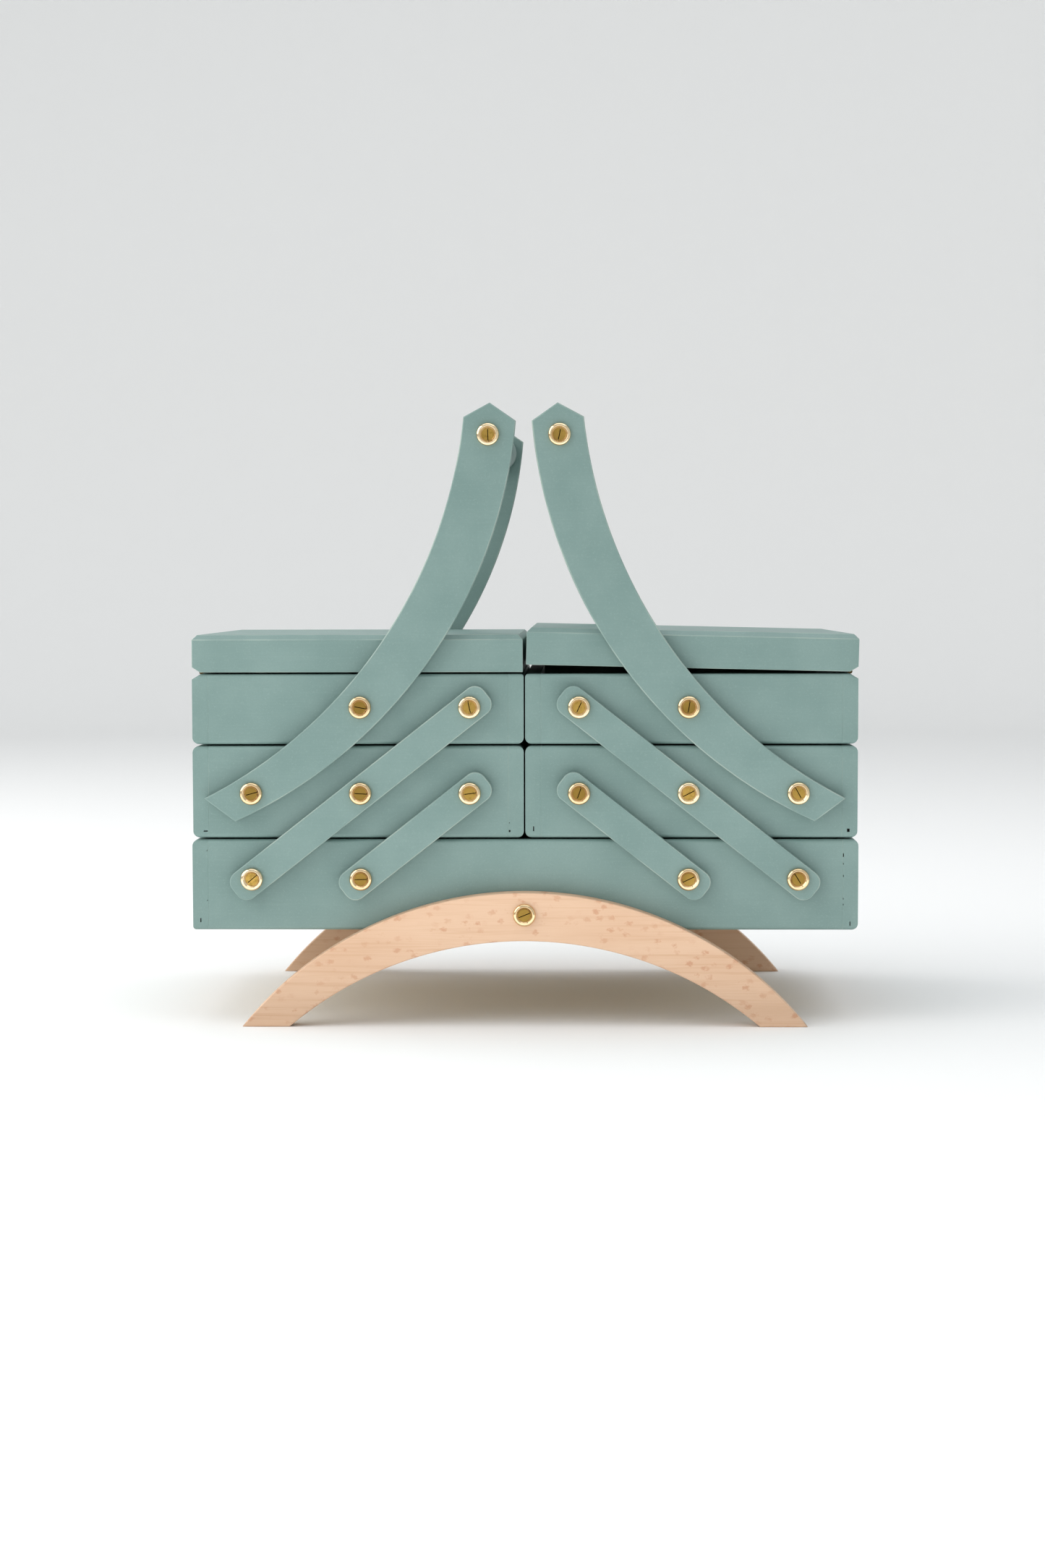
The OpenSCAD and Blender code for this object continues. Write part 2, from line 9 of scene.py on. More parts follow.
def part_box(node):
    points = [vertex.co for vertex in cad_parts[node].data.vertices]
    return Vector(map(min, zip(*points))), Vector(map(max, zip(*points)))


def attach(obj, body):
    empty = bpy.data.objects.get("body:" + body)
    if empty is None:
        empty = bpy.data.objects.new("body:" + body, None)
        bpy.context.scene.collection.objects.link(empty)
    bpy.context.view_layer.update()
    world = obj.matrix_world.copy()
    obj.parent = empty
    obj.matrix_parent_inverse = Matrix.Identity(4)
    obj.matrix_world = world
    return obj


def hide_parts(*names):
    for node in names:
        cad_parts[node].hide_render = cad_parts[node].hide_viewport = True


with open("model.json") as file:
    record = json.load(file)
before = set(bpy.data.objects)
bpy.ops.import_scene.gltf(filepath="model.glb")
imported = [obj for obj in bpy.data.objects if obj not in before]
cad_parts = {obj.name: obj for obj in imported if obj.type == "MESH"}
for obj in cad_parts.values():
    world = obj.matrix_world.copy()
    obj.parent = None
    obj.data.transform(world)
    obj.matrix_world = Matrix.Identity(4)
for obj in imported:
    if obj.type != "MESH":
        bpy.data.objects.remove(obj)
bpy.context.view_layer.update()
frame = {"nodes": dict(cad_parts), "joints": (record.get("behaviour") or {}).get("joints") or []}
scene = bpy.context.scene
unit = 0.001                      # every size below is in millimetres
jointAt = {j["name"]: Vector(j["pos_m"]) / unit for j in frame["joints"]}
sides = {"left": -1, "right": 1}
faces = {"front": -1, "rear": 1}


# The corners, in millimetres, of the box round some CAD nodes
def cadBox(*nodes):
    lows, highs = zip(*(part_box(n) for n in nodes))
    low = Vector([min(v[i] for v in lows) for i in range(3)]) / unit
    high = Vector([max(v[i] for v in highs) for i in range(3)]) / unit
    return low, high


# The camera
view = {
    "place": (23.1, -1313.3, 195.6),
    "turn": 1.12,                 # degrees to the left
    "tilt": 4.05,                 # degrees down
    "roll": 0.11,
    "lens": 62.9,
}
cameraData = bpy.data.cameras.new("camera")
cameraData.lens = view["lens"]
cameraData.sensor_width = 36
camera = bpy.data.objects.new("camera", cameraData)
scene.collection.objects.link(camera)
camera.matrix_world = (
    Matrix.Translation(Vector(view["place"]) * unit)
    @ Matrix.Rotation(math.radians(view["turn"]), 4, "Z")
    @ Matrix.Rotation(math.radians(90 - view["tilt"]), 4, "X")
    @ Matrix.Rotation(math.radians(-view["roll"]), 4, "Z")
)
scene.camera = camera
print("camera placed")


# sRGB hex to the linear colour that the sockets take
def linear(code):
    parts = [int(code[i:i + 2], 16) / 255 for i in (1, 3, 5)]
    return tuple(c / 12.92 if c <= 0.04045 else ((c + 0.055) / 1.055) ** 2.4 for c in parts) + (1.0,)


# Adds a node; an input is a value, or the socket that feeds it
def addNode(tree, kind, settings=None, inputs=None):
    node = tree.nodes.new(kind)
    for key, value in (settings or {}).items():
        setattr(node, key, value)
    for key, value in (inputs or {}).items():
        if isinstance(value, bpy.types.NodeSocket):
            tree.links.new(value, node.inputs[key])
        else:
            node.inputs[key].default_value = value
    return node


def newMaterial(name):
    material = bpy.data.materials.new(name)
    material.use_nodes = True
    material.node_tree.nodes.clear()
    return material, material.node_tree


# A noise whose grains have the given size in millimetres along X, Y and Z
def addGrains(tree, size, detail=3.0, roughness=0.55, distortion=0.0):
    place = addNode(tree, "ShaderNodeTexCoord")
    scaled = addNode(tree, "ShaderNodeMapping", None, {
        "Vector": place.outputs["Object"],
        "Scale": tuple(1 / (s * unit) for s in size),
    })
    return addNode(tree, "ShaderNodeTexNoise", None, {
        "Vector": scaled.outputs[0], "Scale": 1.0, "Detail": detail,
        "Roughness": roughness, "Distortion": distortion,
    }).outputs[0]


# Spreads a value from one range to another
def addSpread(tree, value, low, high, toLow, toHigh):
    return addNode(tree, "ShaderNodeMapRange", None, {
        "Value": value, "From Min": low, "From Max": high, "To Min": toLow, "To Max": toHigh,
    }).outputs[0]


def addBlend(tree, share, first, second):
    return addNode(tree, "ShaderNodeMix", {"data_type": "RGBA"}, {0: share, 6: first, 7: second}).outputs[2]


def finishMaterial(tree, inputs, height, bumpHeight, strength=1.0):
    bump = addNode(tree, "ShaderNodeBump", None, {
        "Strength": strength, "Distance": bumpHeight * unit, "Height": height,
    })
    shader = addNode(tree, "ShaderNodeBsdfPrincipled", None, {**inputs, "Normal": bump.outputs[0]})
    addNode(tree, "ShaderNodeOutputMaterial", None, {"Surface": shader.outputs[0]})


paint = {
    "colour": "#78918C",
    "darker": "#708A85",
    "lighter": "#829A95",
    "wearAndPaintedLight": "#A9B6AB",            # rubbed thin over the pale wood, and a painted highlight on the edges
    "patch": 26.0,                # size of the slow changes of shade
    "speck": 0.8,                 # size of the fine speckle
    "grainLong": 24.0,
    "grainWide": 0.7,
    "stipple": 0.45,              # size of the roller's stipple
    "stippleHigh": 0.012,
    "pitShade": "#2B3531",             # painted shade down in a pit
}


# Water-based satin paint, rolled on beech: an even grey green with a fine speckle, the wood's
# grain faint through it, and paler on the edges, partly as wear and partly as a painted
# highlight where they catch the light. The attribute "arris" is 1 on an edge and -1 in a pit,
# where the paint gets a painted shade.
def makePaintedWood(name, along):
    material, tree = newMaterial(name)
    long, wide = paint["grainLong"], paint["grainWide"]
    size = (long, wide, wide) if along == "x" else (wide, long, wide) if along == "y" else (wide, wide, long)
    patches = addGrains(tree, (paint["patch"],) * 3, 2.0)
    grain = addGrains(tree, size, 3.0, 0.6)
    specks = addGrains(tree, (paint["speck"],) * 3, 2.0, 0.7)
    stipple = addGrains(tree, (paint["stipple"],) * 3, 2.0)
    base = addBlend(tree, addSpread(tree, patches, 0.35, 0.65, 0.0, 1.0),
                    linear(paint["darker"]), linear(paint["colour"]))
    base = addBlend(tree, addSpread(tree, grain, 0.5, 0.8, 0.0, 0.22), base, linear(paint["lighter"]))
    base = addBlend(tree, addSpread(tree, specks, 0.56, 0.75, 0.0, 0.6), base, linear(paint["lighter"]))
    base = addBlend(tree, addSpread(tree, specks, 0.44, 0.28, 0.0, 0.5), base, linear(paint["darker"]))
    arris = addNode(tree, "ShaderNodeAttribute", {"attribute_name": "arris"})
    # The edge colour is wear and also a painted highlight where the edges catch the light
    rubbedAndLit = addNode(tree, "ShaderNodeMath", {"operation": "MULTIPLY"}, {
        0: arris.outputs["Fac"], 1: addSpread(tree, patches, 0.4, 0.6, 0.12, 0.5),
    })
    base = addBlend(tree, rubbedAndLit.outputs[0], base, linear(paint["wearAndPaintedLight"]))
    # In a pit the paint is darkened to a painted shade
    pitShaded = addSpread(tree, arris.outputs["Fac"], 0.0, -1.0, 0.0, 1.0)
    base = addBlend(tree, pitShaded, base, linear(paint["pitShade"]))
    height = addNode(tree, "ShaderNodeMath", {"operation": "ADD"}, {
        0: addSpread(tree, grain, 0.3, 0.8, 0.0, 0.8), 1: stipple,
    })
    finishMaterial(tree, {
        "Base Color": base,
        "Roughness": addSpread(tree, specks, 0.3, 0.7, 0.4, 0.52),
    }, height.outputs[0], paint["stippleHigh"])
    return material


beech = {
    "colour": "#DAB799",
    "late": "#CAA07E",            # the darker lines of the year rings
    "fleck": "#C48F6E",
    "ringWide": 1.5,
    "ringDeep": 9.0,
    "ringLong": 70.0,
    "fibre": 0.35,
    "fibreLong": 14.0,
    "shade": (60.0, 20.0, 14.0),  # size of the slow changes of shade
    "fleckLong": 5.0,
    "fleckWide": 3.4,
    "fleckDeep": 9.0,
    "fleckLean": 0.5,             # turn of the flecks, in radians
    "ragged": (1.3, 3.0, 0.9),    # size of the raggedness of a fleck's edge
}


# Beech, planed and finished with a clear matt lacquer: pinkish tan, with fine year rings along
# the board and the short brown flecks of its rays
def makeBeech():
    material, tree = newMaterial("beechMattLacquer")
    place = addNode(tree, "ShaderNodeTexCoord")
    rings = addGrains(tree, (beech["ringLong"], beech["ringDeep"], beech["ringWide"]), 2.0, 0.5, 0.6)
    fibres = addGrains(tree, (beech["fibreLong"], beech["fibre"], beech["fibre"]), 3.0, 0.6)
    shades = addGrains(tree, beech["shade"], 2.0)
    scaled = addNode(tree, "ShaderNodeMapping", None, {
        "Vector": place.outputs["Object"],
        "Scale": tuple(1 / (beech[key] * unit) for key in ("fleckLong", "fleckDeep", "fleckWide")),
        "Rotation": (0.0, beech["fleckLean"], 0.0),
    })
    cells = addNode(tree, "ShaderNodeTexVoronoi", None, {
        "Vector": scaled.outputs[0], "Scale": 1.0, "Randomness": 1.0,
    })
    chosen = addNode(tree, "ShaderNodeSeparateColor", None, {"Color": cells.outputs["Color"]})
    raggedness = addGrains(tree, beech["ragged"], 2.0)
    ragged = addNode(tree, "ShaderNodeMath", {"operation": "ADD"}, {
        0: cells.outputs["Distance"], 1: addSpread(tree, raggedness, 0.3, 0.7, -0.16, 0.16),
    })
    fleck = addNode(tree, "ShaderNodeMath", {"operation": "MULTIPLY"}, {
        0: addSpread(tree, ragged.outputs[0], 0.42, 0.18, 0.0, 1.0),
        1: addSpread(tree, chosen.outputs[0], 0.4, 0.95, 0.0, 0.75),
    })
    base = addBlend(tree, addSpread(tree, rings, 0.5, 0.72, 0.0, 0.6),
                    linear(beech["colour"]), linear(beech["late"]))
    base = addBlend(tree, addSpread(tree, fibres, 0.5, 0.85, 0.0, 0.4), base, linear(beech["late"]))
    base = addBlend(tree, addSpread(tree, shades, 0.45, 0.7, 0.0, 0.35), base, linear(beech["late"]))
    base = addBlend(tree, fleck.outputs[0], base, linear(beech["fleck"]))
    finishMaterial(tree, {
        "Base Color": base,
        "Roughness": addSpread(tree, fibres, 0.3, 0.7, 0.42, 0.55),
    }, fibres, 0.015)
    return material


plywood = {"colour": "#DCC6A0", "dark": "#C7A97C", "fibre": 0.4, "fibreLong": 22.0, "patch": 18.0}


# Birch plywood, sanded and left bare: pale cream, with a soft silky grain
def makePlywood():
    material, tree = newMaterial("birchPlywoodSanded")
    fibres = addGrains(tree, (plywood["fibreLong"], plywood["fibre"], plywood["fibre"]), 3.0, 0.6)
    patches = addGrains(tree, (plywood["patch"] * 3, plywood["patch"], plywood["patch"]), 2.0)
    base = addBlend(tree, addSpread(tree, fibres, 0.45, 0.8, 0.0, 0.7),
                    linear(plywood["colour"]), linear(plywood["dark"]))
    base = addBlend(tree, addSpread(tree, patches, 0.45, 0.7, 0.0, 0.3), base, linear(plywood["dark"]))
    finishMaterial(tree, {
        "Base Color": base,
        "Roughness": addSpread(tree, fibres, 0.3, 0.7, 0.55, 0.7),
    }, fibres, 0.02)
    return material


brass = {
    "cup": "#EDD9B5",
    "cupDull": "#DDBE90",
    "screw": "#BF9C50",
    "screwDull": "#83682F",
    "lot": 30.0,                  # from one screw to the next the brass is lighter or darker
    "slot": "#3A2C14",            # painted shade in the bottom of a slot, with some grime
    "hinge": "#6E5A38",           # darkened as a painted shade, for it sits in the gap under the lid
    "hingeShadeDull": "#463A26",
    "tarnish": 1.6,
    "scratch": 0.25,
}


# Brass: turned and polished on the cups, so that it mirrors the room; duller where it was
# stamped, on screw heads and hinges, and darker still on the hinges as a painted shade
def makeBrass(name, colour, dull, smooth, rough):
    material, tree = newMaterial(name)
    tarnish = addGrains(tree, (brass["tarnish"],) * 3, 3.0, 0.6)
    scratch = addGrains(tree, (brass["scratch"], brass["scratch"], brass["scratch"] * 8), 2.0)
    lots = addGrains(tree, (brass["lot"],) * 3, 0.0)
    share = addNode(tree, "ShaderNodeMath", {"operation": "MAXIMUM"}, {
        0: addSpread(tree, tarnish, 0.45, 0.75, 0.0, 0.8),
        1: addSpread(tree, lots, 0.4, 0.62, 0.0, 0.75),
    })
    base = addBlend(tree, share.outputs[0], linear(colour), linear(dull))
    finishMaterial(tree, {
        "Base Color": base,
        "Metallic": 1.0,
        "Roughness": addSpread(tree, tarnish, 0.3, 0.7, smooth, rough),
    }, scratch, 0.002)
    return material


clothCover = {"colour": "#F1F1F0", "thread": 1.1}


# Pale cotton cloth, woven plain
def makeClothCover():
    material, tree = newMaterial("paleCottonCloth")
    threads = addGrains(tree, (clothCover["thread"],) * 3, 2.0)
    finishMaterial(tree, {"Base Color": linear(clothCover["colour"]), "Roughness": 0.95}, threads, 0.05)
    return material


paintAcross = makePaintedWood("satinPaintedBeechAcross", "x")
paintBack = makePaintedWood("satinPaintedBeechBack", "y")
beechWood = makeBeech()
plywoodSheet = makePlywood()
cupBrass = makeBrass("turnedBrassPolished", brass["cup"], brass["cupDull"], 0.07, 0.14)
screwBrass = makeBrass("stampedBrassDull", brass["screw"], brass["screwDull"], 0.28, 0.42)
# The slot's brass is darkened as a painted shade, with some grime
slotShadeBrass = makeBrass("brassSlotGrime", brass["slot"], brass["slot"], 0.6, 0.7)
hingeShadedBrass = makeBrass("stampedHingeBrass", brass["hinge"], brass["hingeShadeDull"], 0.35, 0.5)
print("materials made")


def newObject(name, bm):
    mesh = bpy.data.meshes.new(name)
    bm.to_mesh(mesh)
    bm.free()
    piece = bpy.data.objects.new(name, mesh)
    scene.collection.objects.link(piece)
    return piece


# Replaces an object's mesh by what its modifiers make of it
def applyModifiers(piece):
    graph = bpy.context.evaluated_depsgraph_get()
    made = bpy.data.meshes.new_from_object(piece.evaluated_get(graph), depsgraph=graph)
    old = piece.data
    piece.modifiers.clear()
    piece.data = made
    made.name = piece.name
    bpy.data.meshes.remove(old)


shading = {
    "square": 0.99995,            # a face whose normal is this close to an axis counts as flat
    "sharp": 32.0,                # degrees from which an edge is rounded
    "fastenerSharp": 28.0,        # degrees from which brass shows an edge
}


# Ends a piece: its shading, its material, its size in metres, the body it moves with and the CAD
# nodes that it hides. Faces square to an axis stay flat; the others are shaded round if the piece is, and so
# is its arris.
def finishPiece(piece, material, body, nodes, rounded=True):
    mesh = piece.data
    mesh.materials.clear()
    mesh.materials.append(material)
    bm = bmesh.new()
    bm.from_mesh(mesh)
    bmesh.ops.recalc_face_normals(bm, faces=bm.faces)
    arris = bm.faces.layers.float.get("arris")
    for face in bm.faces:
        square = max(abs(c) for c in face.normal) > shading["square"]
        face.smooth = (rounded and not square) or (arris is not None and face[arris] > 0.5)
    bm.to_mesh(mesh)
    bm.free()
    mesh.transform(Matrix.Scale(unit, 4))
    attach(piece, body)
    if nodes:
        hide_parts(*nodes)


# Rounds the edges of a piece: weightOf gives each sharp edge its share of the width
def softenEdges(piece, width, segments, weightOf):
    bm = bmesh.new()
    bm.from_mesh(piece.data)
    weights = bm.edges.layers.float.new("bevel_weight_edge")
    for edge in bm.edges:
        if len(edge.link_faces) == 2 and edge.calc_face_angle(0) > math.radians(shading["sharp"]):
            edge[weights] = weightOf(edge)
    bm.to_mesh(piece.data)
    bm.free()
    piece.data.materials.clear()
    piece.data.materials.append(paintAcross)
    piece.data.materials.append(paintBack)
    rounding = piece.modifiers.new("rounding", "BEVEL")
    rounding.limit_method = "WEIGHT"
    rounding.width = width
    rounding.segments = segments
    rounding.material = 1
    applyModifiers(piece)
    markArris(piece.data)


# The faces that the rounding made are where paint wears and where a highlight is painted: an attribute says
# so
def markArris(mesh):
    wearAndPaintedLight = mesh.attributes.get("arris") or mesh.attributes.new("arris", "FLOAT", "FACE")
    wearAndPaintedLight.data.foreach_set("value", [float(p.material_index) for p in mesh.polygons])
    mesh.polygons.foreach_set("material_index", [0] * len(mesh.polygons))


# Cuts away what some blocks fill, each given by two corners
def cutAway(piece, blocks):
    if not blocks:
        return
    bm = bmesh.new()
    for low, high in blocks:
        middle, size = (Vector(low) + Vector(high)) / 2, Vector(high) - Vector(low)
        bmesh.ops.create_cube(bm, size=1.0, matrix=Matrix.Translation(middle) @ Matrix.Diagonal((*size, 1)))
    cutter = newObject("cutter", bm)
    cut = piece.modifiers.new("cut", "BOOLEAN")
    cut.operation = "DIFFERENCE"
    cut.solver = "EXACT"
    cut.object = cutter
    applyModifiers(piece)
    bpy.data.objects.remove(cutter)


# A convex solid round some points
def convexBlock(points):
    bm = bmesh.new()
    for p in points:
        bm.verts.new(p)
    bmesh.ops.remove_doubles(bm, verts=bm.verts, dist=1e-4)
    made = bmesh.ops.convex_hull(bm, input=bm.verts)
    spare = {e for e in made["geom_interior"] + made["geom_unused"] if isinstance(e, bmesh.types.BMVert)}
    bmesh.ops.delete(bm, geom=list(spare), context="VERTS")
    bmesh.ops.dissolve_limit(bm, angle_limit=math.radians(0.6), verts=bm.verts, edges=bm.edges)
    return bm


# Keeps what lies between two corners, and closes the cuts
def keepBetween(bm, low, high):
    for axis in range(3):
        for value, way in ((low[axis], -1), (high[axis], 1)):
            normal, origin = Vector(), Vector()
            normal[axis], origin[axis] = way, value
            bmesh.ops.bisect_plane(bm, geom=bm.verts[:] + bm.edges[:] + bm.faces[:], dist=1e-4,
                                   plane_co=origin, plane_no=normal, clear_outer=True)
            rim = [e for e in bm.edges if e.is_boundary]
            if rim:
                bmesh.ops.holes_fill(bm, edges=rim, sides=0)
    return bm


def mirrorAcross(piece):
    bm = bmesh.new()
    bm.from_mesh(piece.data)
    bm.transform(Matrix.Scale(-1, 4, (1, 0, 0)))
    bmesh.ops.reverse_faces(bm, faces=bm.faces)
    bm.to_mesh(piece.data)
    bm.free()


# What the boards leave free for the hinges' leaves
hinge = {"long": 25.0, "leaf": 0.5}


# The boxes and trays, from four boards each
tray = {
    "wall": 7.0,
    "corner": 3.0,                # radius of a corner seen from the front
    "edge": 1.6,                  # radius of the long edges
    "roundSteps": 7,
    "inner": 0.7,                 # rounding of the inner edge along the top
    "joint": 0.11,                # the hairline that shows where two boards meet
    "notchWide": 3.7,
    "notchHigh": 2.3,
    "notchSoft": 0.6,             # share of the inner rounding that the notch's edges get
}


def arcPoints(cx, cz, r, start, steps):
    turns = [math.radians(start + 90 * i / steps) for i in range(steps + 1)]
    return [(cx + r * math.cos(t), cz + r * math.sin(t)) for t in turns]


# The outline from the front, anticlockwise from the lower left; notch replaces the upper right corner
def trayOutline(low, high, corners, notch):
    steps = tray["roundSteps"]
    x0, z0, x1, z1 = low.x, low.z, high.x, high.z
    a, b, c, d = corners
    points = arcPoints(x0 + a, z0 + a, a, 180, steps) + arcPoints(x1 - b, z0 + b, b, 270, steps)
    if notch:
        points += [(x1, z1 - tray["notchHigh"]), (x1 - tray["notchWide"], z1)]
    else:
        points += arcPoints(x1 - c, z1 - c, c, 0, steps)
    return points + arcPoints(x0 + d, z1 - d, d, 90, steps)


# All the points of a tray's outside, with its long edges rounded
def trayPoints(low, high, corners, notch):
    r, points = tray["edge"], []
    outline = trayOutline(low, high, corners, notch)
    for i in range(tray["roundSteps"] + 1):
        turn = math.radians(90 * i / tray["roundSteps"])
        deep, inset = r * (1 - math.cos(turn)), r * (1 - math.sin(turn))
        for x, z in outline:
            z = min(max(z, low.z + inset), high.z - inset)
            points += [(x, low.y + deep, z), (x, high.y - deep, z)]
    return points


# Makes the four boards of a box; low and high are its corners if it stood on the right
def makeBox(name, body, side, low, high, corners, notch, nodes, cuts):
    w = tray["wall"]
    boards = {
        "front": ((low.x + w, low.y, low.z), (high.x - w, low.y + w, high.z)),
        "rear": ((low.x + w, high.y - w, low.z), (high.x - w, high.y, high.z)),
        "inner": ((low.x, low.y, low.z), (low.x + w, high.y, high.z)),
        "outer": ((high.x - w, low.y, low.z), (high.x, high.y, high.z)),
    }
    for board, (a, b) in boards.items():
        bm = keepBetween(convexBlock(trayPoints(low, high, corners, notch)), a, b)
        piece = newObject(name + board.capitalize() + "Board", bm)
        cutAway(piece, cuts.get(board, ()))

        # The inner edge along the top is rounded by hand, the joints only show as hairlines
        def weightOf(edge):
            ends = [v.co for v in edge.verts]
            onTop = all(abs(p.z - high.z) < 0.01 for p in ends)
            inside = all(low.x + w - 0.01 < p.x < high.x - w + 0.01 and
                         low.y + w - 0.01 < p.y < high.y - w + 0.01 for p in ends)
            onNotch = notch and all(p.x > high.x - tray["notchWide"] - 0.01 for p in ends)
            if onTop and inside:
                return 1.0
            return tray["notchSoft"] if onNotch else tray["joint"] / tray["inner"]

        softenEdges(piece, tray["inner"], 3, weightOf)
        makePits(piece, pitBlocks(name, board, low, high))
        if side < 0:
            mirrorAcross(piece)
        finishPiece(piece, paintBack if board in ("inner", "outer") else paintAcross, body,
                    [nodes[board]])


# Pits in the front of a corner, where a floor's groove or a joint breaks through the paint: in from
# the board's free end, up from the bottom, wide and high
pits = {
    "deep": 2.2,
    "ahead": 1.0,                 # how far the cutting block stands out in front
    "base": {"inner": [(3.5, 4.4, 0.5, 1.8), (6.6, 13.3, 0.3, 0.5), (6.6, 36.0, 0.3, 0.5)],
             "outer": [(3.6, 2.9, 0.4, 1.9), (6.7, 11.6, 0.3, 0.6), (6.7, 14.2, 0.3, 0.6),
                       (6.7, 24.5, 0.3, 0.8), (6.7, 30.0, 0.3, 0.5), (6.7, 33.9, 0.4, 1.6)]},
    "leftLower": {"inner": [(6.4, 3.0, 0.8, 0.9), (6.5, 6.7, 0.35, 0.4)], "outer": [(5.6, 3.0, 1.9, 0.55)]},
    "rightLower": {"inner": [(3.7, 4.0, 0.5, 2.2)], "outer": [(4.1, 3.3, 1.2, 1.5)]},
}


def pitBlocks(name, board, low, high):
    blocks = []
    for across, up, wide, tall in pits.get(name, {}).get(board, ()):
        x = low.x + across if board == "inner" else high.x - across
        blocks.append(((x - wide / 2, low.y - pits["ahead"], low.z + up - tall / 2),
                       (x + wide / 2, low.y + pits["deep"], low.z + up + tall / 2)))
    return blocks


# Cuts the pits and marks their faces, so that the paint there is darkened as a painted shade
def makePits(piece, blocks):
    if not blocks:
        return
    cutAway(piece, blocks)
    wearAndPaintedLight = piece.data.attributes["arris"]
    for face in piece.data.polygons:
        for low, high in blocks:
            inside = all(low[i] - 0.01 < face.center[i] < high[i] + 0.01 for i in range(3))
            if inside and face.center.y > low[1] + pits["ahead"] + 0.05:
                wearAndPaintedLight.data[face.index].value = -1.0


low, high = cadBox("base_left_end", "base_right_end")
r = tray["corner"]
makeBox("base", "base", 1, low, high, (r / 2, r, r, r), False,
        {"front": "base_front", "rear": "base_rear", "inner": "base_left_end", "outer": "base_right_end"}, {})
for side, sign in sides.items():
    for tier in ("lower", "upper"):
        low, high = cadBox(f"right_{tier}_inner_end", f"right_{tier}_outer_end")
        corners = (r, r, r, r) if tier == "lower" else (r, r, 0, r / 2)
        cuts = {}
        if tier == "upper":
            leafLow, leafHigh = cadBox("right_tray_hinges")
            seats = []
            for end in (-1, 1):
                ys = sorted((end * (leafHigh.y - hinge["long"]), end * leafHigh.y))
                seats.append(((leafLow.x, ys[0], high.z - hinge["leaf"]), (high.x + 1, ys[1], high.z + 1)))
            cuts["outer"] = seats
        makeBox(side + tier.capitalize(), f"{side}_{tier}_tray", sign, low, high, corners, tier == "upper", {
            "front": f"{side}_{tier}_front", "rear": f"{side}_{tier}_rear",
            "inner": f"{side}_{tier}_inner_end", "outer": f"{side}_{tier}_outer_end",
        }, cuts)
print("boxes and trays made")


# The lids, each a frame with a panel on top, bevelled all round
lid = {
    "bevel": 2.2,
    "top": 5.0,                   # thickness of the panel
    "soft": 0.45,                 # rounding of the bevel's own edges
    "ajar": 1.3,                  # degrees that the right lid rests open
}


def makeLid(side, sign):
    low, high = cadBox("left_lid_top", "left_lid_rails", "left_lid_inner_end", "left_lid_outer_end")
    low, high = Vector((-high.x, low.y, low.z)), Vector((-low.x, high.y, high.z))
    b, w = lid["bevel"], tray["wall"]
    outline = [
        (low.x, low.z), (high.x - tray["notchWide"], low.z), (high.x, low.z + tray["notchHigh"]),
        (high.x, high.z - b), (high.x - b, high.z), (low.x + b, high.z), (low.x, high.z - b),
    ]
    points = []
    for deep, limit in ((0, high.z - b), (b, high.z)):
        for x, z in outline:
            points += [(x, low.y + deep, min(z, limit)), (x, high.y - deep, min(z, limit))]
    piece = newObject(side + "Lid", convexBlock(points))
    blocks = [((low.x + w, low.y + w, low.z - 2), (high.x - w, high.y - w, high.z - lid["top"]))]
    leafLow, leafHigh = cadBox("left_lid_hinges")
    for end in (-1, 1):
        ys = sorted((end * (leafHigh.y - hinge["long"]), end * leafHigh.y))
        blocks.append(((-leafHigh.x, ys[0], low.z - 1), (high.x + 1, ys[1], low.z + hinge["leaf"])))
    cutAway(piece, blocks)
    softenEdges(piece, lid["soft"], 3, lambda edge: 1.0)
    if sign < 0:
        mirrorAcross(piece)
    finishPiece(piece, paintAcross, f"{side}_lid",
                [f"{side}_lid_{p}" for p in ("top", "rails", "inner_end", "outer_end")], False)
    if sign > 0:
        pin = jointAt["right_lid"] * unit
        piece.data.transform(Matrix.Translation(pin) @ Matrix.Rotation(math.radians(lid["ajar"]), 4, "Y")
                             @ Matrix.Translation(-pin))


for side, sign in sides.items():
    makeLid(side, sign)
print("lids made")


boreSides = 24


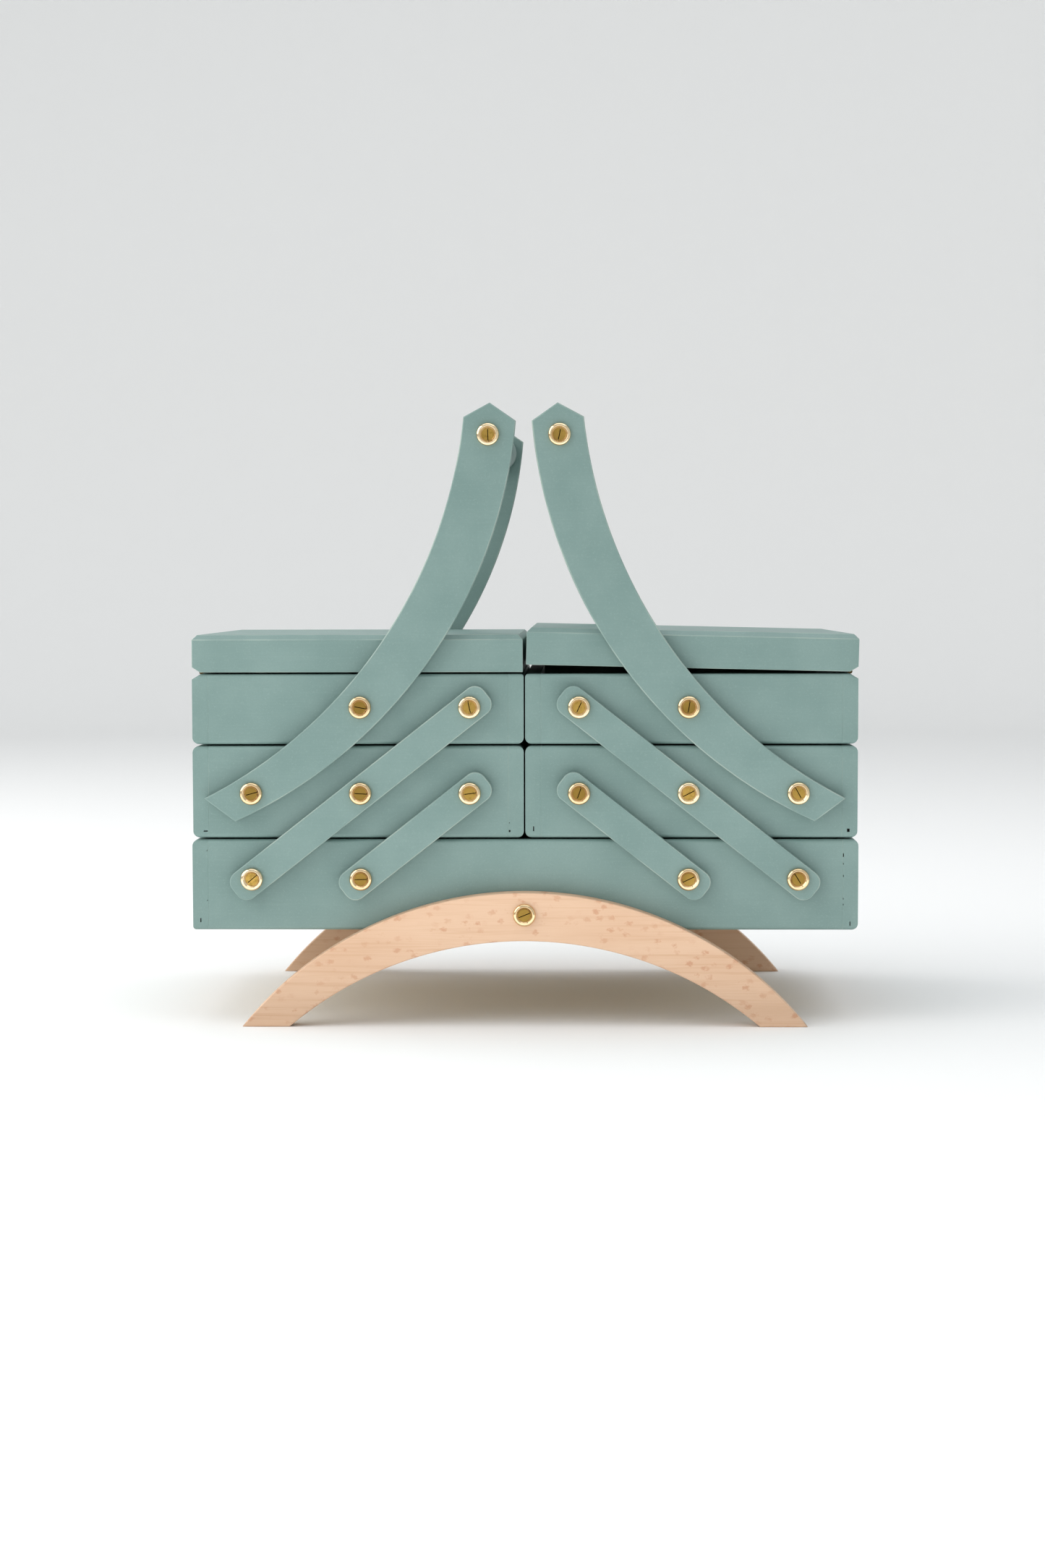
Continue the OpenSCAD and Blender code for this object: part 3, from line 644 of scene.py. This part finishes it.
# Plates: levers, handle arms and feet. outline(inset) gives the same number of points, in X and Z,
# for any inset; pins are the holes through the plate.
def makePlate(name, outline, pins, front, thick, arris, steps, face, sign):
    bm = bmesh.new()
    # The rounded edges are marked for wear and for a painted highlight
    wearAndPaintedLight = bm.faces.layers.float.new("arris")
    turns = [math.radians(90 * i / steps) for i in range(steps + 1)]
    levels = [(arris * (1 - math.sin(t)), arris * (1 - math.cos(t))) for t in turns]
    levels += [(inset, thick - deep) for inset, deep in reversed(levels)]
    rings = [[bm.verts.new((x, deep, z)) for x, z in outline(inset)] for inset, deep in levels]
    for i, (one, two) in enumerate(zip(rings, rings[1:])):
        for k in range(len(one)):
            n = (k + 1) % len(one)
            side = bm.faces.new((one[k], one[n], two[n], two[k]))
            side[wearAndPaintedLight] = 0.0 if i == steps else 1.0
    ends = [[], []]
    for x, z, r in pins:
        turns = [math.tau * i / boreSides for i in range(boreSides)]
        circle = [(x + r * math.cos(t), z + r * math.sin(t)) for t in turns]
        one = [bm.verts.new((px, 0, pz)) for px, pz in circle]
        two = [bm.verts.new((px, thick, pz)) for px, pz in circle]
        for k in range(boreSides):
            n = (k + 1) % boreSides
            bm.faces.new((one[n], one[k], two[k], two[n]))
        ends[0].append(one)
        ends[1].append(two)
    for ring, holes in ((rings[0], ends[0]), (rings[-1], ends[1])):
        edges = []
        for loop in [ring] + holes:
            for k in range(len(loop)):
                edges.append(bm.edges.get((loop[k], loop[(k + 1) % len(loop)])))
        bmesh.ops.triangle_fill(bm, use_beauty=True, edges=edges)
    piece = newObject(name, bm)
    move = Matrix.Translation((0, front, 0))
    if face > 0:
        move = Matrix.Scale(-1, 4, (0, 1, 0)) @ move
    if sign < 0:
        move = Matrix.Scale(-1, 4, (1, 0, 0)) @ move
    piece.data.transform(move)
    return piece


lever = {
    "wide": 14.3,
    "over": 9.9,                  # how far it runs past its end pivots
    "corner": 5.3,
    "thick": 5.5,
    "arris": 0.5,
    "bore": 1.58,
}


# A rounded bar from its first pivot to its last, worked out on the right-hand side
def leverOutline(start, end, inset):
    along = (end - start).normalized()
    across = Vector((-along.z, 0, along.x))
    long = (end - start).length + 2 * lever["over"]
    r, w = lever["corner"] - inset, lever["wide"] / 2 - inset
    a, b = -lever["over"] + inset, long - lever["over"] - inset
    flat = arcPoints(a + r, -w + r, r, 180, 8) + arcPoints(b - r, -w + r, r, 270, 8)
    flat += arcPoints(b - r, w - r, r, 0, 8) + arcPoints(a + r, w - r, r, 90, 8)
    points = [start + along * u + across * v for u, v in flat]
    return [(p.x, p.z) for p in points]


baseLong, baseShort = jointAt["right_levers"], jointAt["right_short_levers"]
lowerLow, upperLow = jointAt["right_lower_tray"], jointAt["right_upper_tray"]
lowerOuter = jointAt["right_handle"]
lowerInner = Vector((2 * lowerLow.x - lowerOuter.x, 0, lowerLow.z))
upperOuter = Vector((lowerLow.x, 0, upperLow.z))
plateFront = cadBox("right_front_long_lever")[0].y
for side, sign in sides.items():
    for faceName, face in faces.items():
        for kind, pivots in (("long", (baseLong, lowerLow, upperLow)), ("short", (baseShort, lowerInner))):
            piece = makePlate(
                side + faceName.capitalize() + kind.capitalize() + "Lever",
                lambda inset: leverOutline(pivots[0], pivots[-1], inset),
                [(p.x, p.z, lever["bore"]) for p in pivots],
                plateFront, lever["thick"], lever["arris"], 5, face, sign,
            )
            finishPiece(piece, paintAcross, f"{side}_{kind}_levers",
                        [f"{side}_{faceName}_{kind}_lever"])
print("levers made")


arm = {
    "lowWide": 16.7,              # width at the lower pivot
    "topWide": 23.4,              # width at the grip
    "lean": 8.5,                  # degrees from the grip to where it would be widest
    "end": 14.5,                  # from the lower pivot to the end cut
    "endSlope": 36.8,
    "head": 12.0,                 # from the grip's screw to the two head cuts
    "headHalf": 31.5,
    "headTilt": 4.0,
    "arris": 0.55,
    "steps": 40,
}
gripLow, gripHigh = cadBox("right_grip")
gripAt = (gripLow + gripHigh) / 2


# The circle through the arm's three screws, in X and Z
def circleThrough(a, b, c):
    d = 2 * (a[0] * (b[1] - c[1]) + b[0] * (c[1] - a[1]) + c[0] * (a[1] - b[1]))
    aa, bb, cc = (p[0] ** 2 + p[1] ** 2 for p in (a, b, c))
    centre = Vector((
        (aa * (b[1] - c[1]) + bb * (c[1] - a[1]) + cc * (a[1] - b[1])) / d,
        (aa * (c[0] - b[0]) + bb * (a[0] - c[0]) + cc * (b[0] - a[0])) / d,
    ))
    return centre, (Vector(a) - centre).length


# Where a circle crosses the line of points p with p . way = reach, on the side nearest to a point
def crossCircle(centre, radius, way, reach, near):
    gap = reach - centre.dot(way)
    half = math.sqrt(radius * radius - gap * gap)
    across = Vector((-way.y, way.x))
    both = [centre + way * gap + across * half, centre + way * gap - across * half]
    return min(both, key=lambda p: (p - near).length)


def arcBetween(centre, start, end, steps):
    r = (start - centre).length
    a, b = math.atan2(*(start - centre).yx), math.atan2(*(end - centre).yx)
    b += math.tau * round((a - b) / math.tau)
    turns = [a + (b - a) * i / steps for i in range(steps + 1)]
    return [centre + Vector((math.cos(t), math.sin(t))) * r for t in turns]


def armOutline(inset):
    low, mid, top = (Vector((p.x, p.z)) for p in (lowerOuter, upperOuter, gripAt))
    centre, radius = circleThrough(low, mid, top)
    topTurn = math.atan2(*(top - centre).yx) % math.tau
    lowTurn = math.atan2(*(low - centre).yx) % math.tau
    wideTurn = topTurn + math.radians(arm["lean"])
    shift = (arm["topWide"] - arm["lowWide"]) / 2 / (
        math.cos(topTurn - wideTurn) - math.cos(lowTurn - wideTurn))
    atTop = shift * math.cos(topTurn - wideTurn)
    wideWay = Vector((math.cos(wideTurn), math.sin(wideTurn)))
    outer, outerR = centre + wideWay * shift, radius + arm["topWide"] / 2 - atTop - inset
    inner, innerR = centre - wideWay * shift, radius - arm["topWide"] / 2 + atTop + inset
    endTurn = math.radians(arm["endSlope"] - 90)
    endWay = Vector((math.cos(endTurn), math.sin(endTurn)))
    endReach = low.dot(endWay) + arm["end"] - inset
    headTurn = topTurn - math.radians(90 + arm["headTilt"])
    ways = [Vector((math.cos(headTurn + t), math.sin(headTurn + t)))
            for t in (-math.radians(arm["headHalf"]), math.radians(arm["headHalf"]))]
    reaches = [top.dot(way) + arm["head"] - inset for way in ways]
    apex = Matrix((ways[0], ways[1])).inverted() @ Vector(reaches)
    lowOuter = crossCircle(outer, outerR, endWay, endReach, low)
    lowInner = crossCircle(inner, innerR, endWay, endReach, low)
    outerWay, innerWay = (1, 0) if (ways[1] - ways[0]).dot(top - centre) > 0 else (0, 1)
    topOuter = crossCircle(outer, outerR, ways[outerWay], reaches[outerWay], top)
    topInner = crossCircle(inner, innerR, ways[innerWay], reaches[innerWay], top)
    points = arcBetween(outer, lowOuter, topOuter, arm["steps"]) + [apex]
    points += arcBetween(inner, topInner, lowInner, arm["steps"])
    return [(p.x, p.y) for p in points]


grip = {"round": 9.0, "arris": 1.0}


# A solid of revolution about Z from its outline, radius and height, bottom to top
def revolve(outline, steps):
    bm = bmesh.new()
    rings = []
    for r, z in outline:
        if r < 1e-6:
            rings.append([bm.verts.new((0, 0, z))])
        else:
            turns = [math.tau * i / steps for i in range(steps)]
            rings.append([bm.verts.new((r * math.cos(t), r * math.sin(t), z)) for t in turns])
    for one, two in zip(rings, rings[1:]):
        for k in range(steps):
            n = (k + 1) % steps
            corners = [one[k % len(one)], one[n % len(one)], two[n % len(two)], two[k % len(two)]]
            unique = [v for i, v in enumerate(corners) if v not in corners[:i]]
            if len(unique) > 2:
                bm.faces.new(unique)
    bmesh.ops.recalc_face_normals(bm, faces=bm.faces)
    return bm


for side, sign in sides.items():
    for faceName, face in faces.items():
        piece = makePlate(
            side + faceName.capitalize() + "Arm", armOutline,
            [(p.x, p.z, lever["bore"]) for p in (lowerOuter, upperOuter, gripAt)],
            plateFront, lever["thick"], arm["arris"], 5, face, sign,
        )
        finishPiece(piece, paintAcross, f"{side}_handle", [f"{side}_{faceName}_arm"])
    long, a = gripHigh.y - gripLow.y, grip["arris"]
    outline = [(0.0, 0.0), (grip["round"] - a, 0.0)]
    outline += [(grip["round"] - a + a * math.sin(t), a - a * math.cos(t)) for t in (0.5, 1.0, 1.5)]
    outline += [(r, long - z) for r, z in reversed(outline)]
    bm = revolve(outline, 48)
    bm.transform(Matrix.Translation((sign * gripAt.x, gripHigh.y, gripAt.z))
                 @ Matrix.Rotation(math.pi / 2, 4, "X"))
    finishPiece(newObject(side + "Grip", bm), paintBack, f"{side}_handle", [f"{side}_grip"])
print("handles made")


foot = {
    "crown": 21.7,                # height of wood at the crown
    "arris": 0.6,
    "steps": 72,
    "bore": 1.5,
    "screwUp": 7.9,               # its screw above the bottom of the base
}
footLow, footHigh = cadBox("front_foot")
footScrewZ = cadBox("base_front")[0].z + foot["screwUp"]


# An arch between two circles of the same radius
def footOutline(inset):
    half, high = (footHigh.x - footLow.x) / 2, footHigh.z
    radius = (half * half + high * high) / (2 * high)
    outer, inner = Vector((0, high - radius)), Vector((0, high - foot["crown"] - radius))
    base, right, left = Vector((0, 1)), Vector((half, 0)), Vector((-half, 0))
    outerR, innerR = radius - inset, radius + inset
    points = arcBetween(outer, crossCircle(outer, outerR, base, inset, right),
                        crossCircle(outer, outerR, base, inset, left), foot["steps"])
    points += arcBetween(inner, crossCircle(inner, innerR, base, inset, left),
                         crossCircle(inner, innerR, base, inset, right), foot["steps"])
    return [(p.x, p.y) for p in points]


for faceName, face in faces.items():
    piece = makePlate(faceName + "Foot", footOutline, [(0, footScrewZ, foot["bore"])],
                      footLow.y, footHigh.y - footLow.y, foot["arris"], 4, face, 1)
    finishPiece(piece, beechWood, "base", [faceName + "_foot"])
print("feet made")


# The screws and their cups
cup = {
    "outer": 5.1,
    "rim": 3.75,
    "high": 2.2,
    "crest": [(0.05, 0.01), (0.1, 0.05), (0.15, 0.1)],    # in from the rim and down from the top
    "seat": 0.03,                 # play between cup and screw
    "steps": 64,
    "shankSides": 20,
    "head": 2.78,
    "shank": 1.5,
    "slotWide": 0.4,
    "slotDeep": 0.6,
    "lift": 0.2,                  # gap between a cup and the lever that turns under it
    "bite": 5.5,
    "footBite": 3.5,
    "gripBite": 13.6,
    "plateGap": 0.4,
}
# How each screw at the front was left, in degrees anticlockwise from level
slotTurns = {
    "base": {(-1, 0): 40, (-1, 1): 1, (1, 1): 25, (1, 0): -58, "foot": 22},
    "lower": {(-1, 0): 15, (-1, 1): -3, (-1, 2): 7, (1, 2): 71, (1, 1): 27, (1, 0): -61},
    "upper": {(-1, 1): -11, (-1, 2): -77, (1, 2): 65, (1, 1): 80},
    "handle": {-1: 92, 1: 78},
}


def cupMesh():
    r, hole = cup["outer"] - cup["rim"], cup["shank"] + cup["seat"]
    headTop = cup["high"] - (cup["rim"] - cup["head"])
    outline = [(hole, 0.0), (cup["outer"], 0.0)]
    outline += [(cup["rim"] + r * math.cos(t), cup["high"] - r + r * math.sin(t))
                for t in (math.radians(90 * i / 8) for i in range(9))]
    outline += [(cup["rim"] - inward, cup["high"] - down) for inward, down in cup["crest"]]
    outline += [(cup["head"] + cup["seat"], headTop), (hole, headTop - cup["head"] + cup["shank"]),
                (hole, 0.0)]
    bm = revolve(outline, cup["steps"])
    bmesh.ops.remove_doubles(bm, verts=bm.verts, dist=1e-4)
    bmesh.ops.recalc_face_normals(bm, faces=bm.faces)
    return bm


# The head with its slot; the faces of the slot are taken off as a part of their own, which gets a dark brass
# for painted shade and grime
def headMeshes():
    top = cup["high"] - (cup["rim"] - cup["head"])
    outline = [(cup["shank"], -0.1), (cup["shank"], top - cup["head"] + cup["shank"]),
               (cup["head"], top - 0.08), (cup["head"] - 0.08, top)]
    bm = revolve(outline, cup["steps"])
    bmesh.ops.holes_fill(bm, edges=[e for e in bm.edges if e.is_boundary], sides=0)
    bmesh.ops.recalc_face_normals(bm, faces=bm.faces)
    head = newObject("head", bm)
    half = cup["slotWide"] / 2
    cutAway(head, [((-cup["outer"], -half, top - cup["slotDeep"]), (cup["outer"], half, top + 1))])
    slot = newObject("slot", bmesh.new())
    slot.data = head.data.copy()
    for piece, inSlot in ((head, False), (slot, True)):
        bm = bmesh.new()
        bm.from_mesh(piece.data)
        spare = [f for f in bm.faces if inSlot != (
            all(abs(v.co.y) < half + 0.01 for v in f.verts) and f.calc_center_median().z < top - 0.02
            and f.calc_center_median().z > top - cup["slotDeep"] - 0.01 and
            (abs(f.normal.y) > 0.9 or f.normal.z > 0.9))]
        bmesh.ops.delete(bm, geom=spare, context="FACES")
        bm.to_mesh(piece.data)
        bm.free()
    return head, slot


# A tree that stands a screw in its cup at every point of a mesh
def makeFastenerTree():
    tree = bpy.data.node_groups.new("screwsInCups", "GeometryNodeTree")
    ids = {}
    for name, kind in (("Points", "Geometry"), ("Cup", "Object"), ("Head", "Object"), ("Slot", "Object"),
                       ("Shank Radius", "Float"), ("Shank Sides", "Int"), ("Cup Brass", "Material"),
                       ("Screw Brass", "Material"), ("Slot Grime", "Material")):
        socket = tree.interface.new_socket(name=name, in_out="INPUT", socket_type="NodeSocket" + kind)
        ids[name] = socket.identifier
    tree.interface.new_socket(name="Fasteners", in_out="OUTPUT", socket_type="NodeSocketGeometry")
    given = addNode(tree, "NodeGroupInput").outputs
    facing, turn, reach = (
        addNode(tree, "GeometryNodeInputNamedAttribute", {"data_type": "FLOAT"}, {"Name": name}).outputs[0]
        for name in ("facing", "slotTurn", "reach"))
    stand = addNode(tree, "ShaderNodeCombineXYZ", None, {0: math.pi / 2, 2: facing}).outputs[0]
    twist = addNode(tree, "ShaderNodeCombineXYZ", None, {2: turn}).outputs[0]
    stretch = addNode(tree, "ShaderNodeCombineXYZ", None, {0: 1.0, 1: 1.0, 2: reach}).outputs[0]
    rod = addNode(tree, "GeometryNodeMeshCylinder", None, {
        "Vertices": given["Shank Sides"], "Radius": given["Shank Radius"], "Depth": 1.0}).outputs["Mesh"]
    rod = addNode(tree, "GeometryNodeTransform", None, {
        "Geometry": rod, "Translation": (0, 0, -0.5)}).outputs[0]
    parts = [(addNode(tree, "GeometryNodeObjectInfo", None, {"Object": given[n]}).outputs["Geometry"],
              (1, 1, 1), given[m])
             for n, m in (("Cup", "Cup Brass"), ("Head", "Screw Brass"), ("Slot", "Slot Grime"))]
    parts.append((rod, stretch, given["Screw Brass"]))
    joined = addNode(tree, "GeometryNodeJoinGeometry")
    for shape, scale, finish in parts:
        placed = addNode(tree, "GeometryNodeInstanceOnPoints", None, {
            "Points": given["Points"], "Instance": shape, "Rotation": stand, "Scale": scale})
        turned = addNode(tree, "GeometryNodeRotateInstances", None, {
            "Instances": placed.outputs[0], "Rotation": twist})
        real = addNode(tree, "GeometryNodeRealizeInstances", None, {0: turned.outputs[0]})
        finished = addNode(tree, "GeometryNodeSetMaterial", None, {
            "Geometry": real.outputs[0], "Material": finish})
        tree.links.new(finished.outputs[0], joined.inputs[0])
    addNode(tree, "NodeGroupOutput", None, {0: joined.outputs[0]})
    return tree, ids


cupMaster = newObject("cup", cupMesh())
headMaster, slotMaster = headMeshes()
fastenerTree, fastenerInputs = makeFastenerTree()
columns = {0: lowerOuter.x, 1: lowerLow.x, 2: lowerInner.x}
leverReach = cup["lift"] + lever["thick"] + cup["plateGap"] + cup["bite"]


# Points are (x, z, front face, slot turn, reach), for the front. The rear repeats them, with the
# slots left at other angles.
def makeFasteners(name, body, node, points):
    spots, facing, turns, reach = [], [], [], []
    for i, (x, z, front, turn, long) in enumerate(points):
        for face in faces.values():
            spots.append((x, front if face < 0 else -front, z))
            facing.append(0.0 if face < 0 else math.pi)
            turns.append(math.radians(turn if face < 0 else turn * 2 + 37 * i + 20))
            reach.append(long)
    mesh = bpy.data.meshes.new(name)
    mesh.from_pydata(spots, [], [])
    for key, values in (("facing", facing), ("slotTurn", turns), ("reach", reach)):
        mesh.attributes.new(key, "FLOAT", "POINT").data.foreach_set("value", values)
    piece = bpy.data.objects.new(name, mesh)
    scene.collection.objects.link(piece)
    stamp = piece.modifiers.new("fasteners", "NODES")
    stamp.node_group = fastenerTree
    for key, value in (("Cup", cupMaster), ("Head", headMaster), ("Slot", slotMaster),
                       ("Shank Radius", cup["shank"]), ("Shank Sides", cup["shankSides"]),
                       ("Cup Brass", cupBrass), ("Screw Brass", screwBrass), ("Slot Grime", slotShadeBrass)):
        stamp[fastenerInputs[key]] = value
    applyModifiers(piece)
    bm = bmesh.new()
    bm.from_mesh(piece.data)
    bmesh.ops.remove_doubles(bm, verts=bm.verts, dist=1e-3)
    bm.to_mesh(piece.data)
    bm.free()
    for key in ("facing", "slotTurn", "reach"):
        if key in piece.data.attributes:
            piece.data.attributes.remove(piece.data.attributes[key])
    piece.data.polygons.foreach_set("use_smooth", [True] * len(piece.data.polygons))
    piece.data.set_sharp_from_angle(angle=math.radians(shading["fastenerSharp"]))
    piece.data.transform(Matrix.Scale(unit, 4))
    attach(piece, body)
    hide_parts(node)


standing = plateFront - cup["lift"]
makeFasteners("baseFasteners", "base", "base_fasteners", [
    (side * columns[c], baseLong.z, standing, turn, leverReach)
    for (side, c), turn in ((k, v) for k, v in slotTurns["base"].items() if k != "foot")
] + [(0.0, footScrewZ, footLow.y, slotTurns["base"]["foot"], footHigh.y - footLow.y + cup["footBite"])])
for side, sign in sides.items():
    for tier, z in (("lower", lowerOuter.z), ("upper", upperLow.z)):
        points = [(s * columns[c], z, standing, turn, leverReach)
                  for (s, c), turn in slotTurns[tier].items() if s == sign]
        makeFasteners(f"{side}{tier.capitalize()}Fasteners", f"{side}_{tier}_tray",
                      f"{side}_{tier}_fasteners", points)
    makeFasteners(f"{side}HandleFasteners", f"{side}_handle", f"{side}_handle_fasteners", [
        (sign * gripAt.x, gripAt.z, plateFront, slotTurns["handle"][sign],
         lever["thick"] + cup["gripBite"])])
for master in (cupMaster, headMaster, slotMaster):
    bpy.data.objects.remove(master)
print("screws and cups made")


# CAD nodes that are kept, with a finish
for name, node in frame["nodes"].items():
    if name.endswith("_floor") or name.endswith("_hinges"):
        # The hinges get a brass darkened as a painted shade
        finish = plywoodSheet if name.endswith("_floor") else hingeShadedBrass
        if not node.material_slots:
            node.data.materials.append(None)
        for materialSlot in node.material_slots:
            materialSlot.material = finish


# A pale cloth floor that sweeps up on every side, so far out that a view of the opened box still
# stands inside it
room = {"flat": 2500.0, "sweep": 500.0, "high": 2200.0}
outline = [(0.0, 0.0), (600.0, 0.0), (room["flat"], 0.0)]
outline += [(room["flat"] + room["sweep"] * math.sin(t), room["sweep"] * (1 - math.cos(t)))
            for t in (math.radians(10 * i) for i in range(1, 10))]
outline.append((room["flat"] + room["sweep"], room["high"]))
backdrop = newObject("floor", revolve(outline, 96))
backdrop.data.materials.append(makeClothCover())
backdrop.data.polygons.foreach_set("use_smooth", [True] * len(backdrop.data.polygons))
backdrop.data.transform(Matrix.Scale(unit, 4))


# Soft daylight from a window on the left, a weak lamp above and the glow of the table
def addLight(name, place, aim, size, power, colour):
    data = bpy.data.lights.new(name, "AREA")
    data.shape = "RECTANGLE"
    data.size, data.size_y = size[0] * unit, size[1] * unit
    data.energy = power
    data.color = linear(colour)[:3]
    light = bpy.data.objects.new(name, data)
    scene.collection.objects.link(light)
    light.location = Vector(place) * unit
    light.rotation_mode = "QUATERNION"
    light.rotation_quaternion = (Vector(aim) - Vector(place)).to_track_quat("-Z", "Y")
    light.visible_camera = False


addLight("window", (-1350, -250, 950), (0, -60, 60), (2900, 1300), 25.0, "#FFFEFC")
addLight("ceiling", (150, -50, 1600), (0, 0, 0), (1800, 1600), 9.0, "#FBFCFF")
addLight("tableGlow", (-60, -330, 8), (-60, -329, 1000), (1000, 400), 1.05, "#FDFEFF")
world = bpy.data.worlds.new("room")
scene.world = world
world.use_nodes = True
world.node_tree.nodes.clear()
sky = addNode(world.node_tree, "ShaderNodeBackground", None, {"Color": linear("#E9ECEF"), "Strength": 0.82})
addNode(world.node_tree, "ShaderNodeOutputWorld", None, {"Surface": sky.outputs[0]})
scene.view_settings.view_transform = "Standard"
print("stage and light made")
